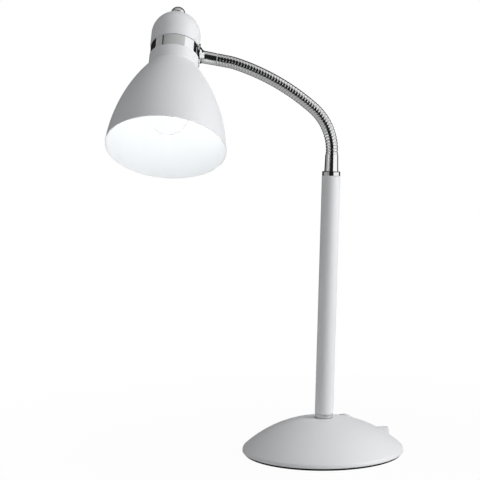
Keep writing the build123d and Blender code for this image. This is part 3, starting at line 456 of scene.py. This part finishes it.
def chrome_with_painted_seam_shade(name, dark, pale, painted_shade_tone, ring, at_top):
    """Chrome of a ring on the stem, with a painted shadow line along the seam at its top or at its foot.
    """
    material = finish(name, dark, pale, RING_ROUGH, CHROME_CLOUD, CHROME_GRAIN, CHROME_BUMP, metallic=1.0)
    tree = material.node_tree
    surface = principled(material).inputs["Base Color"]
    tint = surface.links[0].from_socket
    place = tree.nodes.new("ShaderNodeTexCoord")
    along = tree.nodes.new("ShaderNodeVectorMath")
    along.operation = "DOT_PRODUCT"
    along.inputs[1].default_value = STEM_AXIS
    tree.links.new(place.outputs["Object"], along.inputs[0])
    heights = [STEM_AXIS.dot(corner.co) for corner in nodes[ring].data.vertices]
    level = max(heights) - SEAM_HEIGHT if at_top else min(heights) + SEAM_HEIGHT
    painted_shade_mask = tree.nodes.new("ShaderNodeMapRange")
    painted_shade_mask.inputs["From Min"].default_value = level - SEAM_FADE if at_top else level + SEAM_FADE
    painted_shade_mask.inputs["From Max"].default_value = level
    tree.links.new(along.outputs["Value"], painted_shade_mask.inputs["Value"])
    # Painted shade: the colour darkens in a thin band at the seam, standing in for the shadow in the
    # joint.
    painted_shade = tree.nodes.new("ShaderNodeMix")
    painted_shade.data_type = "RGBA"
    painted_shade.inputs["B"].default_value = (painted_shade_tone, painted_shade_tone, painted_shade_tone, 1.0)
    tree.links.new(painted_shade_mask.outputs["Result"], painted_shade.inputs["Factor"])
    tree.links.new(tint, painted_shade.inputs["A"])
    tree.links.new(painted_shade.outputs["Result"], surface)
    dress(material, ring)


chrome_with_painted_seam_shade(
    "top_ring_chrome", (0.8, 0.805, 0.815), (0.86, 0.86, 0.865),
    painted_shade_tone=0.12, ring="stem_top_ring", at_top=True,
)
chrome_with_painted_seam_shade(
    "foot_ring_chrome", (0.75, 0.755, 0.77), (0.82, 0.825, 0.84),
    painted_shade_tone=0.3, ring="stem_foot_ring", at_top=False,
)


# Gooseneck: a chromed hose of rounded ribs that bends and stays. It is made as short
# runs of ribs, each reaching from the middle of one link to the middle of the next.
HOSE_START = 0.31325
HOSE_RADIUS = 0.0065
HOSE_WALL = 0.0009
RIB_PITCH = 0.00325
RIB_DEPTH = 0.00095
RIB_SIDES = 40
RIB_STEPS = 12
RIB_FULLNESS = 0.08
RIB_SMOOTHING = math.radians(50)
RIB_MERGE = RIB_PITCH / 50
RIB_VALLEY = HOSE_RADIUS - RIB_DEPTH
RIBS_PER_LINK = 7
RIBS_BEFORE_JOIN = 4
LINKS = 8
HOSE_LENGTH = RIB_PITCH * RIBS_PER_LINK * LINKS
END_RUN = 0.013
TIGHT_RADIUS = 0.058
TIGHT_LENGTH = TIGHT_RADIUS * math.radians(51.5)
END_BEND_RADIUS = 0.06
END_BEND_LENGTH = END_BEND_RADIUS * math.radians(7.5)
WIDE_RADIUS = 0.237
WIDE_LENGTH = HOSE_LENGTH - 2 * END_RUN - TIGHT_LENGTH - END_BEND_LENGTH
BENDS = ((TIGHT_RADIUS, TIGHT_LENGTH), (WIDE_RADIUS, WIDE_LENGTH), (END_BEND_RADIUS, END_BEND_LENGTH))
ROUTE_STEP = 0.001


def hose_point(length):
    """Point on the hose's centre line: straight, three bends one after another, straight."""
    heading = math.pi / 2 - STEM_LEAN
    spot = Vector((math.cos(heading), 0.0, math.sin(heading))) * (HOSE_START + min(length, END_RUN))
    left = length - min(length, END_RUN)
    for radius, reach in BENDS:
        turn = max(0.0, min(left, reach)) / radius
        spot.x += radius * (math.sin(heading + turn) - math.sin(heading))
        spot.z += radius * (math.cos(heading) - math.cos(heading + turn))
        heading += turn
        left -= min(left, reach)
    return spot + Vector((math.cos(heading), 0.0, math.sin(heading))) * left


route_data = bpy.data.curves.new("hose_route", "CURVE")
route_data.dimensions = "3D"
route_data.twist_mode = "Z_UP"
route_line = route_data.splines.new("POLY")
route_steps = round(HOSE_LENGTH / ROUTE_STEP)
route_line.points.add(route_steps)
for index, point in enumerate(route_line.points):
    point.co = (*hose_point(HOSE_LENGTH * index / route_steps), 1.0)
route = bpy.data.objects.new("hose_route", route_data)
scene.collection.objects.link(route)

bpy.ops.object.select_all(action="DESELECT")
bpy.ops.mesh.primitive_circle_add(vertices=RIB_SIDES, radius=RIB_VALLEY, rotation=(0.0, math.pi / 2, 0.0))
rib = bpy.context.object
rib.name = "rib"
bpy.ops.object.transform_apply(rotation=True)
bpy.ops.object.mode_set(mode="EDIT")
bpy.ops.mesh.select_all(action="SELECT")
radius = RIB_VALLEY
rib_step = (RIB_PITCH / RIB_STEPS, 0.0, 0.0)
for step in range(1, RIB_STEPS + 1):
    round_off = math.sin(math.pi * step / RIB_STEPS) ** RIB_FULLNESS if step < RIB_STEPS else 0.0
    wider = RIB_VALLEY + RIB_DEPTH * round_off
    bpy.ops.mesh.extrude_region_move(TRANSFORM_OT_translate={"value": rib_step})
    bpy.ops.transform.resize(value=(1.0, wider / radius, wider / radius))
    radius = wider
bpy.ops.mesh.select_all(action="SELECT")
bpy.ops.mesh.normals_make_consistent(inside=False)
bpy.ops.object.mode_set(mode="OBJECT")

hose_chrome = finish(
    "hose_chrome", (0.8, 0.805, 0.815), (0.88, 0.88, 0.885),
    rough=(0.07, 0.12), cloud=120.0, grain=CHROME_GRAIN, bump=(0.03, 0.00003), metallic=1.0,
)


def hose_run(name, first, last):
    """Ribs from one number to another, wrapped on the hose's route and given a wall."""
    run = rib.copy()
    run.data = rib.data.copy()
    run.name = name
    scene.collection.objects.link(run)
    run.data.transform(Matrix.Translation((first * RIB_PITCH, 0.0, 0.0)))
    add_modifier(
        run, "ARRAY", count=last - first, use_relative_offset=False, use_constant_offset=True,
        constant_offset_displace=(RIB_PITCH, 0.0, 0.0), use_merge_vertices=True, merge_threshold=RIB_MERGE,
    )
    add_modifier(run, "CURVE", object=route, deform_axis="POS_X")
    add_modifier(run, "SOLIDIFY", thickness=HOSE_WALL, offset=-1.0)
    run.data.materials.append(hose_chrome)
    bpy.ops.object.select_all(action="DESELECT")
    run.select_set(True)
    bpy.ops.object.shade_smooth_by_angle(angle=RIB_SMOOTHING)
    return run


start_run = hose_run("gooseneck_foot", 0, RIBS_BEFORE_JOIN)
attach(start_run, "base")
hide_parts("gooseneck_1")
for link in range(1, LINKS):
    first = (link - 1) * RIBS_PER_LINK + RIBS_BEFORE_JOIN
    last = first + RIBS_PER_LINK
    run = hose_run(f"gooseneck_run_{link}", first, last)
    hose_point(first * RIB_PITCH)
    hose_point(last * RIB_PITCH)
    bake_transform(run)
    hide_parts(f"gooseneck_{link + 1}")
end_run = hose_run("gooseneck_end", last, LINKS * RIBS_PER_LINK)
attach(end_run, f"neck_link_{LINKS}")
bpy.data.objects.remove(rib)
bpy.data.objects.remove(route)


# Head: the upper ferrule's sleeve turns on the hose's end and its flared saddle clamps
# the chromed band, which joins the spun shade below to the cap above under a ball finial.
dress(chrome, "upper_ferrule", "head_band", "finial", "finial_washer")
dress(enamel, "shade", "shade_cap")
nylon = finish(
    "natural_nylon", (0.7, 0.7, 0.68), (0.78, 0.78, 0.75),
    rough=(0.45, 0.6), cloud=50.0, grain=900.0, bump=(0.1, 0.0001),
)
dress(nylon, "swivel_washer")


# Lampholder and bulb: a moulded holder with a brass screw shell, and a clear ball bulb
# whose filament glows, so that the inside of the shade is bright. A small light below the
# shade stands for what a pale table throws back into its mouth and on its edge.
GLASS_COLOUR = (1.0, 1.0, 1.0)
GLASS_IOR = 1.06
FILAMENT_COLOUR = (1.0, 0.95, 0.88)
FILAMENT_ROUGHNESS = 0.5
FILAMENT_GLOW = 4.0
LIGHT_COLOUR = (0.985, 1.0, 0.97)
BULB_POWER = 0.046
BULB_GLOW_RADIUS = 0.012
BULB_GLOW_DROP = 0.018
BOUNCE_POWER = 2.25
BOUNCE_RADIUS = 0.04
BOUNCE_DISTANCE = 0.3
BOUNCE_CONE = math.radians(31)
BOUNCE_EDGE = 0.2

holder_plastic = finish(
    "holder_plastic", (0.82, 0.82, 0.81), (0.86, 0.86, 0.85),
    rough=(0.4, 0.55), cloud=40.0, grain=900.0, bump=(0.15, 0.0001),
)
dress(holder_plastic, "holder_body")
brass = finish(
    "bare_brass", (0.5, 0.36, 0.13), (0.72, 0.55, 0.24),
    rough=(0.2, 0.35), cloud=90.0, grain=1500.0, bump=(0.1, 0.0001), metallic=1.0,
)
dress(brass, "holder_screw_shell", "holder_contact", "bulb_tip")
cap_metal = finish(
    "cap_metal", (0.6, 0.6, 0.61), (0.75, 0.75, 0.76),
    rough=(0.22, 0.36), cloud=90.0, grain=1500.0, bump=(0.1, 0.0001), metallic=1.0,
)
dress(cap_metal, "bulb_cap")
black_glass = finish(
    "black_glass", (0.01, 0.01, 0.012), (0.02, 0.02, 0.022),
    rough=(0.08, 0.16), cloud=90.0, grain=900.0, bump=(0.1, 0.0001),
)
dress(black_glass, "bulb_insulator")
glass = new_material("clear_glass", GLASS_COLOUR, roughness=0.0)
principled(glass).inputs["Transmission Weight"].default_value = 1.0
principled(glass).inputs["IOR"].default_value = GLASS_IOR
dress(glass, "bulb_glass", "bulb_mount")
nodes["bulb_glass"].visible_shadow = False
nodes["bulb_mount"].visible_shadow = False
tungsten = finish(
    "support_wire", (0.3, 0.3, 0.3), (0.45, 0.45, 0.45),
    rough=(0.3, 0.4), cloud=90.0, grain=900.0, bump=(0.1, 0.0001), metallic=1.0,
)
dress(tungsten, "bulb_wires")
glowing = new_material("glowing_filament", FILAMENT_COLOUR, FILAMENT_ROUGHNESS)
principled(glowing).inputs["Emission Color"].default_value = (*FILAMENT_COLOUR, 1.0)
principled(glowing).inputs["Emission Strength"].default_value = FILAMENT_GLOW
dress(glowing, "bulb_filament")


def unseen_light(kind, name, place, power, radius):
    """Light inside or below the shade, which falls on surfaces and isn't seen itself."""
    bpy.ops.object.light_add(type=kind, location=place)
    light = bpy.context.object
    light.name = name
    light.data.energy = power
    light.data.color = LIGHT_COLOUR
    light.data.shadow_soft_size = radius
    light.visible_camera = False
    light.visible_glossy = False
    light.visible_transmission = False
    return light


filament_low, filament_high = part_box("bulb_filament")
tip_low, tip_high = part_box("bulb_tip")
filament_middle = (filament_low + filament_high) / 2
bulb_axis = (filament_middle - (tip_low + tip_high) / 2).normalized()
glow_place = filament_middle + bulb_axis * BULB_GLOW_DROP
bulb_light = unseen_light("POINT", "bulb_light", glow_place, BULB_POWER, BULB_GLOW_RADIUS)
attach(bulb_light, "bulb")
bounce_place = filament_middle + bulb_axis * BOUNCE_DISTANCE
bounce = unseen_light("SPOT", "bounce_light", bounce_place, BOUNCE_POWER, BOUNCE_RADIUS)
bounce.data.spot_size = BOUNCE_CONE
bounce.data.spot_blend = BOUNCE_EDGE
bounce.rotation_euler = (-bulb_axis).to_track_quat("-Z", "Y").to_euler()
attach(bounce, "head")
